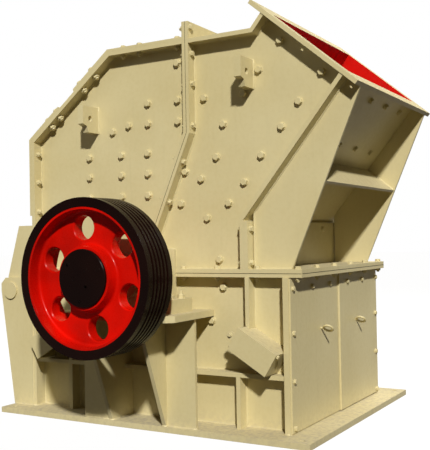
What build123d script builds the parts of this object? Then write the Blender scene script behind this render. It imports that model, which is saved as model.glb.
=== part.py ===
from build123d import *
import os
from math import atan2, cos, hypot, radians, sin

os.makedirs("parts", exist_ok=True)

# Frame of the model, in millimetres: the origin is the centre of the base plate's underside.
# +X points to the feed end, -Y to the drive side with the pulley, +Z up.

# Plates and clearances
chamber_half = 708.0
side_plate = 20.0
wall_plate = 30.0
running_gap = 5.0
seam_gap = 0.5

# How far pieces stand out beyond the side plates
flange_reach = 87.0
rib_reach = 92.0
end_reach = 102.0
base_reach = 259.0
box_reach = 200.0
bearing_offset = 142.0

# How far plates reach in past the chamber's sides, or stay clear of them
joint_lip = 8.0
window_lip = 18.0
rotor_gap = 13.0

# Base plate
end_face_x = 1111.0
base_overhang = 189.0
base_thickness = 40.0
discharge_margin = 81.0
anchor_margin_x = 80.0
anchor_margin_y = 67.0
anchor_radius = 20.0

# Lower frame
seam_height = 1081.0
flange_plate = 27.0
door_plate = 12.0
feed_frame_plate = 41.0
rear_end_thickness = 31.0
end_window_margin = 60.0
rail_height = 399.0
rail_plate = 30.0
post_plate = 30.0
feed_lower_post_x = 712.0
feed_upper_post_x = 791.0
rear_post_x = -740.0

# Flanged joint between the lower frame and the housing
flange_feed_overhang = 79.0
flange_rear_overhang = 14.0
flange_lap = 60.0

# Doors in the feed end
door_seam = 4.0
door_margin = 7.0
door_inset = 8.0
far_door_step = 12.0
far_door_inset = 22.0
ring_y = 328.0
ring_height = 680.0
ring_radius = 32.0
ring_wire = 8.0
ring_shank = 22.0
ring_tilt = -41.0

# Rotor and shaft
rotor_x = -12.0
shaft_drop = 4.0
rotor_disc_radius = 545.0
rotor_tube_radius = 265.0
disc_count = 5
disc_plate = 70.0
shaft_core_radius = 150.0
shaft_neck_radius = 115.0
shaft_journal_radius = 100.0
shaft_pulley_radius = 85.0
journal_reach = 25.0
bar_count = 4
bar_phase = 45.0
bar_thickness = 108.0
bar_root = 350.0
bar_tip = 625.0
bar_gap = 0.5
relief_width = 130.0
relief_depth = 60.0

# Shaft opening in the side plates, and the seal box around it
shaft_opening_radius = 150.0
seal_half = 238.0
seal_wall_half = 181.0
seal_rise = 170.0
seal_plate = 20.0
seal_bore_radius = 130.0

# Bearings and their brackets
bearing_height = 252.0
bearing_width = 260.0
bearing_foot_half = 405.0
bearing_foot_height = 90.0
bearing_body_half = 262.0
bearing_cap_radius = 250.0
bearing_cover_radius = 165.0
bearing_cover_plate = 18.0
bearing_running_fit = 0.3
seat_half = 495.0
seat_plate = 45.0
seat_apron = 140.0
seat_corner = 45.0
seat_margin = 8.0
gusset_offset = 228.0
gusset_plate = 30.0
gusset_margin = 12.0
front_plate_inset = 25.0
front_plate = 25.0
front_plate_reach = 475.0

# Pulley
pulley_gap = 155.0
pulley_width = 265.0
pulley_radius = 521.0
rim_thickness = 61.0
groove_count = 5
groove_pitch = 38.0
groove_depth = 20.0
groove_mouth = 20.0
groove_root = 10.0
lining_thickness = 16.0
lining_recess = 2.0
web_recess = 90.0
web_thickness = 90.0
web_fillet = 20.0
boss_radius = 218.0
boss_front_radius = 205.0
boss_recess = 17.0
boss_rear_radius = 170.0
boss_rear_recess = 10.0
web_hole_count = 6
web_hole_first_angle = 99.0
web_hole_boss_gap = 32.0
web_hole_lining_gap = 32.0
web_hole_edge = 7.0
hub_cap_radius = 189.0
hub_cap_reach = 2.0
hub_cap_edge = 5.0

# Heights of the housing, and the seam between its hinged rear part and its fixed feed part
top_height = 2717.0
split_x = 332.5
split_low_x = -22.0
split_rise = 125.0
split_kink_drop = 655.0
split_plate = 25.0

# Rear housing profile
rear_overhang = 7.0
rear_incline_drop = 602.0
shoulder_x = -345.0
cover_plate = 20.0
lower_cover_gap = 77.0
lower_cover_length = 380.0
upper_cover_length = 422.0

# Feed housing profile
feed_top_end_x = 850.0
feed_wall_x = 771.0
feed_wall_rise = 331.0
wall_cover_plate = 30.0
wall_cover_drop = 9.0
feed_incline_angle = 50.65
mouth_tip_overhang = 8.0
mouth_tip_rise = 191.0
mouth_angle = 40.3
mouth_plate = 30.0
mouth_lip = 105.0
mouth_hole_radius = 18.0
mouth_hole_inset = 50.0
mouth_hole_count = 3

# Chute cheeks and the shelf between them
cheek_foot_setback = 26.0
cheek_gap = 10.0
cheek_margin = 1.0
shelf_rise = 536.0
shelf_reach = 278.0
shelf_plate = 20.0

# Hinge of the rear housing
hinge_reach = 221.0
hinge_drop = 147.0
pin_radius = 45.0
pin_fit = 0.4
pin_cap_radius = 67.0
pin_cap_plate = 14.0
lug_plate = 25.0
lug_foot_setback = 26.0
lug_nose_reach = 105.0
lug_top_rise = 100.0
lug_top_setback = 99.0
lug_heel_drop = 47.0
lug_chamfer = 45.0
arm_plate = 30.0
arm_rise = 339.0
arm_top_reach = 155.0
arm_waist_reach = 56.0
arm_waist_rise = 110.0
arm_eye_radius = 62.0
arm_flange_gap = 10.0

# Inclined cover box on each side
box_x = 874.0
rear_box_x = -884.0
box_z = 574.0
box_length = 318.0
box_height = 168.0
box_angle = -31.0
box_plate = 12.0

# Lifting eyes on the side plates
eye_feed_x = 800.0
eye_feed_drop = 392.0
eye_rear_x = -533.0
eye_rear_drop = 588.0
eye_plate = 50.0
eye_height = 197.0
eye_reach = 184.0
eye_foot_reach = 122.0
eye_waist = 138.0
eye_waist_height = 45.0
eye_slope_height = 60.0
eye_hole_radius = 22.0
eye_hole_reach = 101.0
eye_hole_height = 105.0

# Faces across the width that follow from the sizes above
side_outer = chamber_half + side_plate
flange_half = side_outer + flange_reach
rib_half = side_outer + rib_reach
end_frame_half = side_outer + end_reach
base_half = side_outer + base_reach
box_outer = side_outer + box_reach
flange_inner_half = chamber_half - joint_lip
window_half = chamber_half - window_lip
rotor_half = chamber_half - rotor_gap
door_half = end_frame_half - door_inset
far_door_half = end_frame_half - far_door_inset
gusset_foot = base_half - gusset_margin
front_plate_y = gusset_foot - front_plate_inset
bearing_inner = side_outer + bearing_offset
bearing_outer = bearing_inner + bearing_width
seat_outer = bearing_outer + seat_apron
pulley_rear = bearing_outer + pulley_gap
pulley_front = pulley_rear + pulley_width
shaft_drive_end = pulley_front - boss_recess
lug_outer = end_frame_half
arm_outer = lug_outer - lug_plate - running_gap
lug_inner = arm_outer - arm_plate - running_gap

# Faces along the length that follow
base_length = 2 * (end_face_x + base_overhang)
door_back_x = end_face_x - door_plate
feed_frame_x = door_back_x - feed_frame_plate
rear_plate_x = rear_end_thickness - end_face_x
flange_feed_x = end_face_x + flange_feed_overhang
flange_rear_x = -end_face_x - flange_rear_overhang
rear_x = -end_face_x - rear_overhang
mouth_tip_x = feed_top_end_x + mouth_tip_overhang
cheek_foot_x = end_face_x - cheek_foot_setback
cheek_root_x = feed_wall_x + wall_cover_plate + cheek_gap
hinge_x = rear_x - hinge_reach

# Radii of the pulley that follow
rim_inner_radius = pulley_radius - rim_thickness
lining_radius = rim_inner_radius - lining_thickness
web_hole_near = boss_radius + web_hole_boss_gap
web_hole_far = lining_radius - web_hole_lining_gap
web_hole_pitch = (web_hole_near + web_hole_far) / 2
web_hole_radius = (web_hole_far - web_hole_near) / 2

# Heights that follow
lower_side_top = seam_height - flange_plate
upper_flange_foot = seam_height + seam_gap / 2
housing_foot = seam_height + flange_plate
door_foot = base_thickness + door_margin
door_head = lower_side_top - door_margin
rotor_z = seam_height - shaft_drop
seat_top = rotor_z - bearing_height
seat_foot = seat_top - seat_plate
seal_top = rotor_z + seal_rise
split_top = top_height + split_rise
split_kink_z = top_height - split_kink_drop
knee_z = top_height - rear_incline_drop
rear_cover_foot = housing_foot + arm_rise + lower_cover_gap
mouth_tip_z = top_height + mouth_tip_rise
feed_knee_z = housing_foot + feed_wall_rise
hinge_z = seam_height - hinge_drop


def keep(piece, label):
    """Name one finished piece and write it."""
    piece.label = label
    export_step(piece, f"parts/{label}.step")


def offset_line(points, distance):
    """Move an open line sideways, to the right of its direction where distance is positive."""
    moved = []
    for i, (x, z) in enumerate(points):
        normals = []
        for a, b in ((i - 1, i), (i, i + 1)):
            if a >= 0 and b < len(points):
                dx = points[b][0] - points[a][0]
                dz = points[b][1] - points[a][1]
                normals.append((dz / hypot(dx, dz), -dx / hypot(dx, dz)))
        nx = sum(n[0] for n in normals)
        nz = sum(n[1] for n in normals)
        scale = len(normals) * distance / (nx * nx + nz * nz)
        moved.append((x + nx * scale, z + nz * scale))
    return moved


def at_height(start, end, height):
    """The point where the line through start and end reaches a height."""
    share = (height - start[1]) / (end[1] - start[1])
    return (start[0] + share * (end[0] - start[0]), height)


def plate_beside(outline, near, far):
    """A plate on the drive side in the XZ plane, from one distance off the centre to another."""
    with BuildPart() as plate:
        with BuildSketch(Plane.XZ.offset(near)):
            with BuildLine():
                Polyline(*outline, close=True)
            make_face()
        extrude(amount=far - near)
    return plate.part


def plate_across(outline, half):
    """A plate whose section lies in the XZ plane and which crosses the whole machine."""
    return plate_beside(outline, -half, half)


def both_sides(piece):
    """A piece of the drive side together with its twin on the far side."""
    with BuildPart() as pair:
        add(piece)
        mirror(about=Plane.XZ)
    return pair.part


def far_side(piece):
    """The far side's twin of a piece of the drive side."""
    return piece.mirror(Plane.XZ)


def block(x_span, y_span, z_span):
    """A block between two faces each way."""
    with BuildPart() as piece:
        with BuildSketch(Plane.XY.offset(z_span[0])):
            with Locations(((x_span[0] + x_span[1]) / 2, (y_span[0] + y_span[1]) / 2)):
                Rectangle(abs(x_span[1] - x_span[0]), abs(y_span[1] - y_span[0]))
        extrude(amount=z_span[1] - z_span[0])
    return piece.part


# Base plate with the discharge opening and four anchor holes
with BuildPart() as base_plate:
    with BuildSketch():
        Rectangle(base_length, 2 * base_half)
        Rectangle(2 * (end_face_x - discharge_margin), 2 * window_half, mode=Mode.SUBTRACT)
        with GridLocations(base_length - 2 * anchor_margin_x, 2 * (base_half - anchor_margin_y), 2, 2):
            Circle(anchor_radius, mode=Mode.SUBTRACT)
    extrude(amount=base_thickness)
keep(base_plate.part, "base_plate")

# Side plates of the lower frame, each with the round opening for the shaft
with BuildPart() as lower_side:
    with BuildSketch(Plane.XZ.offset(chamber_half)):
        with BuildLine():
            Polyline(
                (rear_plate_x, base_thickness),
                (feed_frame_x, base_thickness),
                (feed_frame_x, lower_side_top),
                (rear_plate_x, lower_side_top),
                close=True,
            )
        make_face()
        with Locations((rotor_x, rotor_z)):
            Circle(shaft_opening_radius, mode=Mode.SUBTRACT)
    extrude(amount=side_plate)
keep(lower_side.part, "lower_side_drive")
keep(far_side(lower_side.part), "lower_side_far")

# End frame that carries the two doors, and the plain plate at the rear end
with BuildPart() as feed_end_frame:
    with BuildSketch(Plane.YZ.offset(feed_frame_x)):
        with Locations((0, (base_thickness + lower_side_top) / 2)):
            Rectangle(2 * end_frame_half, lower_side_top - base_thickness)
            Rectangle(
                2 * window_half,
                lower_side_top - base_thickness - 2 * end_window_margin,
                mode=Mode.SUBTRACT,
            )
    extrude(amount=feed_frame_plate)
keep(feed_end_frame.part, "feed_end_frame")

rear_end = block(
    (-end_face_x, rear_plate_x),
    (-end_frame_half, end_frame_half),
    (base_thickness, lower_side_top),
)
keep(rear_end, "rear_end_plate")

# Doors of the feed end: the far one is thicker, and each has a ring handle
near_door = block((door_back_x, end_face_x), (-door_half, -door_seam / 2), (door_foot, door_head))
keep(near_door, "feed_door_drive")

far_face_x = end_face_x + far_door_step
far_door = block((door_back_x, far_face_x), (door_seam / 2, far_door_half), (door_foot, door_head))
keep(far_door, "feed_door_far")

with BuildPart() as door_rings:
    for ring_side_y, shank_x in ((-ring_y, end_face_x), (ring_y, far_face_x)):
        ring_centre = (end_face_x + ring_shank + ring_radius, ring_side_y, ring_height)
        with Locations(Location(ring_centre, (ring_tilt, 0, 0))):
            Torus(ring_radius, ring_wire)
        with BuildSketch(Plane.YZ.offset(shank_x)):
            with Locations((ring_side_y, ring_height)):
                Circle(ring_wire)
        extrude(amount=end_face_x + ring_shank - shank_x)
keep(door_rings.part, "door_rings")

# Ribs on the outside of the lower frame: a level rail on each side, and posts above and below it.
# The upper post near the feed end stands on the sloping top of the cover box.
gusset_edges = (gusset_offset - gusset_plate / 2, gusset_offset + gusset_plate / 2)
rail_foot = rail_height - rail_plate / 2
rail_top = rail_height + rail_plate / 2
rail_spans = (
    (rear_plate_x, rotor_x - gusset_edges[1]),
    (rotor_x - gusset_edges[0], rotor_x + gusset_edges[0]),
    (rotor_x + gusset_edges[1], feed_frame_x),
)
with BuildPart() as rails:
    for span in rail_spans:
        add(block(span, (-rib_half, -side_outer), (rail_foot, rail_top)))
keep(both_sides(rails.part), "side_rails")

box_cos = cos(radians(box_angle))
box_sin = sin(radians(box_angle))


def box_top(x):
    """The height of the cover box's sloping top at a place along the length."""
    return box_z + box_height / (2 * box_cos) + (x - box_x) * box_sin / box_cos


def box_plane(centre_x, lean):
    """The plane of a cover box's back. Its X runs along the box, and lean is 1 or -1."""
    return Plane(origin=(centre_x, -side_outer, box_z), x_dir=(box_cos, 0, lean * box_sin), z_dir=(0, -1, 0))


def box_block(centre_x, lean):
    """The full block that a cover box fills beside the side plate."""
    with BuildPart() as full:
        with BuildSketch(box_plane(centre_x, lean)):
            Rectangle(box_length, box_height)
        extrude(amount=box_outer - side_outer)
    return full.part


post_spans = (
    (feed_lower_post_x, base_thickness, rail_foot),
    (rear_post_x, base_thickness, rail_foot),
    (rear_post_x, rail_top, lower_side_top),
)
upper_post_near_x = feed_upper_post_x - post_plate / 2
upper_post_far_x = feed_upper_post_x + post_plate / 2
upper_post_outline = [
    (upper_post_near_x, box_top(upper_post_near_x)),
    (upper_post_far_x, box_top(upper_post_far_x)),
    (upper_post_far_x, lower_side_top),
    (upper_post_near_x, lower_side_top),
]
with BuildPart() as posts:
    for post_x, foot, top in post_spans:
        add(block((post_x - post_plate / 2, post_x + post_plate / 2), (-rib_half, -side_outer), (foot, top)))
    add(plate_beside(upper_post_outline, side_outer, rib_half))
    add(box_block(rear_box_x, -1), mode=Mode.SUBTRACT)
keep(both_sides(posts.part), "side_posts")


# Flanges of the joint between the lower frame and the housing, broken off at the shaft
def joint_flange(outer_x, window_x, shaft_end_x, foot):
    """One U-shaped flange plate whose open end points to the shaft."""
    with BuildPart() as flange:
        with BuildSketch(Plane.XY.offset(foot)):
            with Locations(((outer_x + shaft_end_x) / 2, 0)):
                Rectangle(abs(outer_x - shaft_end_x), 2 * flange_half)
            with Locations(((window_x + shaft_end_x) / 2, 0)):
                Rectangle(abs(window_x - shaft_end_x), 2 * flange_inner_half, mode=Mode.SUBTRACT)
        extrude(amount=flange_plate - seam_gap / 2)
    return flange.part


feed_shaft_end = rotor_x + seal_half
rear_shaft_end = rotor_x - seal_half
keep(
    joint_flange(flange_feed_x, door_back_x - flange_lap, feed_shaft_end, lower_side_top),
    "lower_flange_feed",
)
keep(
    joint_flange(flange_rear_x, flange_lap - end_face_x, rear_shaft_end, lower_side_top),
    "lower_flange_rear",
)
keep(
    joint_flange(flange_feed_x, feed_wall_x - wall_plate, feed_shaft_end, upper_flange_foot),
    "upper_flange_feed",
)
keep(
    joint_flange(flange_rear_x, rear_x + wall_plate, rear_shaft_end - running_gap, upper_flange_foot),
    "upper_flange_rear",
)

# Seam line between the two housings, from the top down to the seal box
seam_line = [(split_x, split_top), (split_x, split_kink_z), (split_low_x, seal_top)]
rear_seam = offset_line(seam_line, seam_gap / 2)
rear_seam_back = offset_line(seam_line, seam_gap / 2 + split_plate)
feed_seam = offset_line(seam_line, -seam_gap / 2)
feed_seam_back = offset_line(seam_line, -seam_gap / 2 - split_plate)
rear_seam_foot = seal_top + running_gap
roof_inner_z = top_height - wall_plate


def split_flange(face, back, foot):
    """The flange along the seam: a leg down each side, and a bar across the roof."""
    leg = [
        (face[0][0], roof_inner_z),
        face[1],
        at_height(face[1], face[2], foot),
        at_height(back[1], back[2], foot),
        back[1],
        (back[0][0], roof_inner_z),
    ]
    bar = [
        (face[0][0], roof_inner_z),
        (face[0][0], split_top),
        (back[0][0], split_top),
        (back[0][0], roof_inner_z),
    ]
    with BuildPart() as flange:
        add(both_sides(plate_beside(leg, side_outer, flange_half)))
        add(plate_across(bar, flange_half))
    return flange.part


keep(split_flange(feed_seam, feed_seam_back, seal_top), "split_flange_feed")
keep(split_flange(rear_seam, rear_seam_back, rear_seam_foot), "split_flange_rear")

# Rear housing: wall, incline and roof are plates across the whole width
rear_line = [
    (rear_x, housing_foot),
    (rear_x, knee_z),
    (shoulder_x, top_height),
    (rear_seam_back[0][0], top_height),
]
rear_inner = offset_line(rear_line, wall_plate)
for i, label in enumerate(("rear_wall", "rear_incline", "rear_roof")):
    section = [rear_line[i], rear_line[i + 1], rear_inner[i + 1], rear_inner[i]]
    keep(plate_across(section, flange_half), label)

rear_side_outline = [
    rear_inner[0],
    rear_inner[1],
    rear_inner[2],
    (rear_seam[0][0], roof_inner_z),
    rear_seam[1],
    at_height(rear_seam[1], rear_seam[2], rear_seam_foot),
    (rear_shaft_end - running_gap, rear_seam_foot),
    (rear_shaft_end - running_gap, housing_foot),
]
rear_side = plate_beside(rear_side_outline, chamber_half, side_outer)
keep(rear_side, "rear_side_drive")
keep(far_side(rear_side), "rear_side_far")

# Bolted cover plates on the rear wall, the incline and the roof
cover_line = offset_line(rear_line, -cover_plate)
incline_angle = atan2(top_height - knee_z, shoulder_x - rear_x)


def along_incline(start, distance):
    """The point that lies a distance up the rear incline."""
    return (start[0] + distance * cos(incline_angle), start[1] + distance * sin(incline_angle))


lower_cover = [
    (rear_x, rear_cover_foot),
    (rear_x - cover_plate, rear_cover_foot),
    cover_line[1],
    along_incline(cover_line[1], lower_cover_length),
    along_incline(rear_line[1], lower_cover_length),
    rear_line[1],
]
upper_cover = [
    along_incline(rear_line[2], -upper_cover_length),
    along_incline(cover_line[2], -upper_cover_length),
    cover_line[2],
    cover_line[3],
    rear_line[3],
    rear_line[2],
]
keep(plate_across(lower_cover, flange_half), "rear_cover_lower")
keep(plate_across(upper_cover, flange_half), "rear_cover_upper")

# Feed housing: the mouth lies in a tilted plane, measured along it from its highest edge
mouth_cos = cos(radians(mouth_angle))
mouth_sin = sin(radians(mouth_angle))
wall_cos = cos(radians(feed_incline_angle))
wall_sin = sin(radians(feed_incline_angle))


def mouth_point(along, below):
    """The point so far down the mouth flange and so far below its face."""
    return (
        mouth_tip_x + along * mouth_cos - below * mouth_sin,
        mouth_tip_z - along * mouth_sin - below * mouth_cos,
    )


def mouth_along(point):
    """How far down the mouth flange a point lies."""
    return (point[0] - mouth_tip_x) * mouth_cos - (point[1] - mouth_tip_z) * mouth_sin


def up_to_mouth(point):
    """Follow the feed incline from a point up to the underside of the mouth flange."""
    depth = (mouth_tip_x - point[0]) * mouth_sin + (mouth_tip_z - point[1]) * mouth_cos
    rise = (depth - mouth_plate) / (wall_cos * mouth_sin + wall_sin * mouth_cos)
    return (point[0] + rise * wall_cos, point[1] + rise * wall_sin)


neck_foot = (feed_top_end_x, top_height)
roof_line = [
    (feed_seam_back[0][0], top_height),
    neck_foot,
    mouth_point(mouth_along(neck_foot), mouth_plate),
]
roof_inner = offset_line(roof_line, wall_plate)
for i, label in enumerate(("feed_roof", "feed_neck")):
    section = [roof_line[i], roof_line[i + 1], roof_inner[i + 1], roof_inner[i]]
    keep(plate_across(section, flange_half), label)

feed_knee = (feed_wall_x, feed_knee_z)
wall_line = [up_to_mouth(feed_knee), feed_knee, (feed_wall_x, housing_foot)]
wall_inner = offset_line(wall_line, wall_plate)
wall_inner[0] = up_to_mouth(wall_inner[1])
for i, label in enumerate(("feed_incline", "feed_wall")):
    section = [wall_line[i], wall_line[i + 1], wall_inner[i + 1], wall_inner[i]]
    keep(plate_across(section, flange_half), label)

wall_cover_x = feed_wall_x + wall_cover_plate
wall_cover_z = feed_knee_z - wall_cover_drop
wall_cover = block(
    (feed_wall_x, wall_cover_x),
    (-flange_half, flange_half),
    (housing_foot, wall_cover_z),
)
keep(wall_cover, "feed_wall_cover")

with BuildPart() as feed_side:
    with BuildSketch(Plane.XZ.offset(chamber_half)):
        with BuildLine():
            Polyline(
                (feed_seam[0][0], roof_inner_z),
                roof_inner[1],
                roof_inner[2],
                wall_inner[0],
                wall_inner[1],
                wall_inner[2],
                (feed_shaft_end, housing_foot),
                (feed_shaft_end, lower_side_top),
                (rear_shaft_end, lower_side_top),
                (rear_shaft_end, seal_top),
                at_height(feed_seam[1], feed_seam[2], seal_top),
                feed_seam[1],
                close=True,
            )
        make_face()
        with Locations((rotor_x, rotor_z)):
            Circle(shaft_opening_radius, mode=Mode.SUBTRACT)
    extrude(amount=side_plate)
keep(feed_side.part, "feed_side_drive")
keep(far_side(feed_side.part), "feed_side_far")

# Flange around the feed mouth
mouth_plane = Plane(
    origin=(mouth_tip_x, 0, mouth_tip_z),
    x_dir=(mouth_cos, 0, -mouth_sin),
    z_dir=(mouth_sin, 0, mouth_cos),
)
mouth_upper = mouth_along(roof_inner[2])
mouth_lower = mouth_along(wall_inner[0])
mouth_length = mouth_along(wall_line[0]) + mouth_lip
mouth_hole_pitch = (mouth_length - 2 * mouth_hole_inset) / (mouth_hole_count - 1)
with BuildPart() as mouth_flange:
    with BuildSketch(mouth_plane):
        with Locations((mouth_length / 2, 0)):
            Rectangle(mouth_length, 2 * rib_half)
            with GridLocations(mouth_hole_pitch, side_outer + rib_half, mouth_hole_count, 2):
                Circle(mouth_hole_radius, mode=Mode.SUBTRACT)
        with Locations(((mouth_upper + mouth_lower) / 2, 0)):
            Rectangle(mouth_lower - mouth_upper, 2 * chamber_half, mode=Mode.SUBTRACT)
    extrude(amount=-mouth_plate)
keep(mouth_flange.part, "mouth_flange")

# Cheeks that carry the overhanging mouth, and the shelf between them
cheek_root_z = feed_knee_z + (cheek_root_x - feed_wall_x) * wall_sin / wall_cos
cheek_outline = [
    (cheek_root_x, housing_foot),
    (cheek_foot_x, housing_foot),
    mouth_point(mouth_length - cheek_margin, mouth_plate),
    wall_line[0],
    (cheek_root_x, cheek_root_z),
]
cheek = plate_beside(cheek_outline, chamber_half, side_outer)
keep(both_sides(cheek), "cheeks")

shelf_root = (feed_wall_x + shelf_rise * wall_cos, feed_knee_z + shelf_rise * wall_sin)
shelf_tip = (shelf_root[0] + shelf_reach * wall_sin, shelf_root[1] - shelf_reach * wall_cos)
shelf_section = [
    shelf_root,
    shelf_tip,
    (shelf_tip[0] - shelf_plate * wall_cos, shelf_tip[1] - shelf_plate * wall_sin),
    (shelf_root[0] - shelf_plate * wall_cos, shelf_root[1] - shelf_plate * wall_sin),
]
keep(plate_across(shelf_section, chamber_half), "cheek_shelf")

# Seal boxes around the shaft, open towards the side plates, each with a wider plate in front
seal_face = (-end_frame_half, seal_plate - end_frame_half)
seal_depth = (seal_plate - end_frame_half, -side_outer)
seal_wall_inner = seal_wall_half - seal_plate
with BuildPart() as seal_box:
    add(block((rear_shaft_end, feed_shaft_end), seal_face, (seat_top, seal_top)))
    add(block((rotor_x - seal_wall_half, rotor_x + seal_wall_half), seal_depth, (seat_top, seal_top)))
    add(
        block(
            (rotor_x - seal_wall_inner, rotor_x + seal_wall_inner),
            seal_depth,
            (seat_top, seal_top - seal_plate),
        ),
        mode=Mode.SUBTRACT,
    )
    with BuildSketch(Plane.XZ.offset(end_frame_half)):
        with Locations((rotor_x, rotor_z)):
            Circle(seal_bore_radius)
    extrude(amount=-seal_plate, mode=Mode.SUBTRACT)
keep(both_sides(seal_box.part), "seal_boxes")

# Bearing brackets: seat plate, two slanting gussets and a front plate outside each gusset
with BuildPart() as seat:
    with BuildSketch(Plane.XY.offset(seat_foot)):
        with Locations((rotor_x, -(side_outer + seat_outer) / 2)):
            Rectangle(2 * seat_half, seat_outer - side_outer)
        chamfer(vertices().group_by(Axis.Y)[0], seat_corner)
    extrude(amount=seat_plate)
keep(both_sides(seat.part), "bearing_seats")

with BuildPart() as gussets:
    for offset_x in (-gusset_offset, gusset_offset):
        with BuildSketch(Plane.YZ.offset(rotor_x + offset_x - gusset_plate / 2)):
            with BuildLine():
                Polyline(
                    (-side_outer, base_thickness),
                    (-gusset_foot, base_thickness),
                    (-seat_outer + seat_margin, seat_foot),
                    (-side_outer, seat_foot),
                    close=True,
                )
            make_face()
        extrude(amount=gusset_plate)
keep(both_sides(gussets.part), "bearing_gussets")

with BuildPart() as fronts:
    for side in (-1, 1):
        near_x = rotor_x + side * gusset_edges[1]
        far_x = rotor_x + side * front_plate_reach
        add(
            block(
                (near_x, far_x),
                (-front_plate_y - front_plate / 2, -front_plate_y + front_plate / 2),
                (base_thickness, seat_foot),
            )
        )
keep(both_sides(fronts.part), "bearing_front_plates")

# Bearing housings, split at the shaft's height, with a round cover on each end
with BuildPart() as bearing:
    with BuildSketch(Plane.XZ.offset(bearing_inner)):
        with Locations((rotor_x, seat_top + bearing_foot_height / 2)):
            Rectangle(2 * bearing_foot_half, bearing_foot_height)
        with Locations((rotor_x, (seat_top + rotor_z) / 2)):
            Rectangle(2 * bearing_body_half, rotor_z - seat_top)
        with Locations((rotor_x, rotor_z)):
            Circle(bearing_cap_radius)
    extrude(amount=bearing_outer - bearing_inner)
    with BuildSketch(Plane.XZ.offset(bearing_inner - bearing_cover_plate)):
        with Locations((rotor_x, rotor_z)):
            Circle(bearing_cover_radius)
    extrude(amount=bearing_outer - bearing_inner + 2 * bearing_cover_plate)
    with BuildSketch(Plane.XZ.offset(bearing_inner - bearing_cover_plate)):
        with Locations((rotor_x, rotor_z)):
            Circle(shaft_journal_radius + bearing_running_fit)
    extrude(amount=bearing_outer - bearing_inner + 2 * bearing_cover_plate, mode=Mode.SUBTRACT)
keep(bearing.part, "bearing_drive")
keep(far_side(bearing.part), "bearing_far")

# Hinge of the rear housing: two lug plates and a pin on each side of the lower frame
lug_outline = [
    (-end_face_x, base_thickness),
    (hinge_x + lug_foot_setback, base_thickness),
    (hinge_x - lug_nose_reach, hinge_z),
    (hinge_x - lug_nose_reach, hinge_z + lug_top_rise - lug_chamfer),
    (hinge_x - lug_nose_reach + lug_chamfer, hinge_z + lug_top_rise),
    (hinge_x + lug_top_setback, hinge_z + lug_top_rise),
    (-end_face_x, hinge_z - lug_heel_drop),
]
with BuildPart() as lugs:
    for face in (lug_outer, lug_inner):
        add(plate_beside(lug_outline, face - lug_plate, face))
    with BuildSketch(Plane.XZ.offset(lug_inner - lug_plate)):
        with Locations((hinge_x, hinge_z)):
            Circle(pin_radius)
    extrude(amount=lug_outer - lug_inner + lug_plate, mode=Mode.SUBTRACT)
keep(both_sides(lugs.part), "hinge_lugs")

with BuildPart() as pin:
    with BuildSketch(Plane.XZ.offset(lug_inner - lug_plate)):
        with Locations((hinge_x, hinge_z)):
            Circle(pin_radius)
    extrude(amount=lug_outer - lug_inner + lug_plate)
    with BuildSketch(Plane.XZ.offset(lug_outer)):
        with Locations((hinge_x, hinge_z)):
            Circle(pin_cap_radius)
    extrude(amount=pin_cap_plate)
keep(both_sides(pin.part), "hinge_pins")

arm_back_x = flange_rear_x - arm_flange_gap
arm_outline = [
    (rear_x, housing_foot + arm_rise),
    (rear_x - arm_top_reach, housing_foot + arm_rise),
    (hinge_x - arm_waist_reach, hinge_z + arm_waist_rise),
    (hinge_x - arm_eye_radius, hinge_z),
    (hinge_x + arm_eye_radius, hinge_z),
    (arm_back_x, hinge_z + arm_waist_rise),
    (arm_back_x, housing_foot),
    (rear_x, housing_foot),
]
with BuildPart() as arm:
    add(plate_beside(arm_outline, arm_outer - arm_plate, arm_outer))
    with BuildSketch(Plane.XZ.offset(arm_outer - arm_plate)):
        with Locations((hinge_x, hinge_z)):
            Circle(arm_eye_radius)
    extrude(amount=arm_plate)
    with BuildSketch(Plane.XZ.offset(arm_outer - arm_plate)):
        with Locations((hinge_x, hinge_z)):
            Circle(pin_radius + pin_fit)
    extrude(amount=arm_plate, mode=Mode.SUBTRACT)
keep(both_sides(arm.part), "hinge_arms")

# Inclined cover boxes on the lower side plates, open underneath
with BuildPart() as cover_box:
    for centre_x, lean in ((box_x, 1), (rear_box_x, -1)):
        with BuildPart() as one_box:
            add(box_block(centre_x, lean))
            with BuildSketch(box_plane(centre_x, lean)):
                with Locations((0, -box_plate)):
                    Rectangle(box_length - 2 * box_plate, box_height)
            extrude(amount=box_outer - side_outer - box_plate, mode=Mode.SUBTRACT)
        add(one_box.part)
keep(both_sides(cover_box.part), "cover_boxes")


# Lifting eyes on the side plates, two on the feed housing and two on the rear housing
def lifting_eye(root_x, root_z):
    """A plate that stands out from the side plate, with a hole for a shackle."""
    outline = [
        (-side_outer, root_z),
        (-side_outer - eye_foot_reach, root_z),
        (-side_outer - eye_waist, root_z + eye_waist_height),
        (-side_outer - eye_reach, root_z + eye_slope_height),
        (-side_outer - eye_reach, root_z + eye_height),
        (-side_outer, root_z + eye_height),
    ]
    with BuildPart() as eye:
        with BuildSketch(Plane.YZ.offset(root_x - eye_plate / 2)):
            with BuildLine():
                Polyline(*outline, close=True)
            make_face()
            with Locations((-side_outer - eye_hole_reach, root_z + eye_hole_height)):
                Circle(eye_hole_radius, mode=Mode.SUBTRACT)
        extrude(amount=eye_plate)
    return eye.part


keep(both_sides(lifting_eye(eye_feed_x, top_height - eye_feed_drop)), "lifting_eyes_feed")
keep(both_sides(lifting_eye(eye_rear_x, top_height - eye_rear_drop)), "lifting_eyes_rear")

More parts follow.
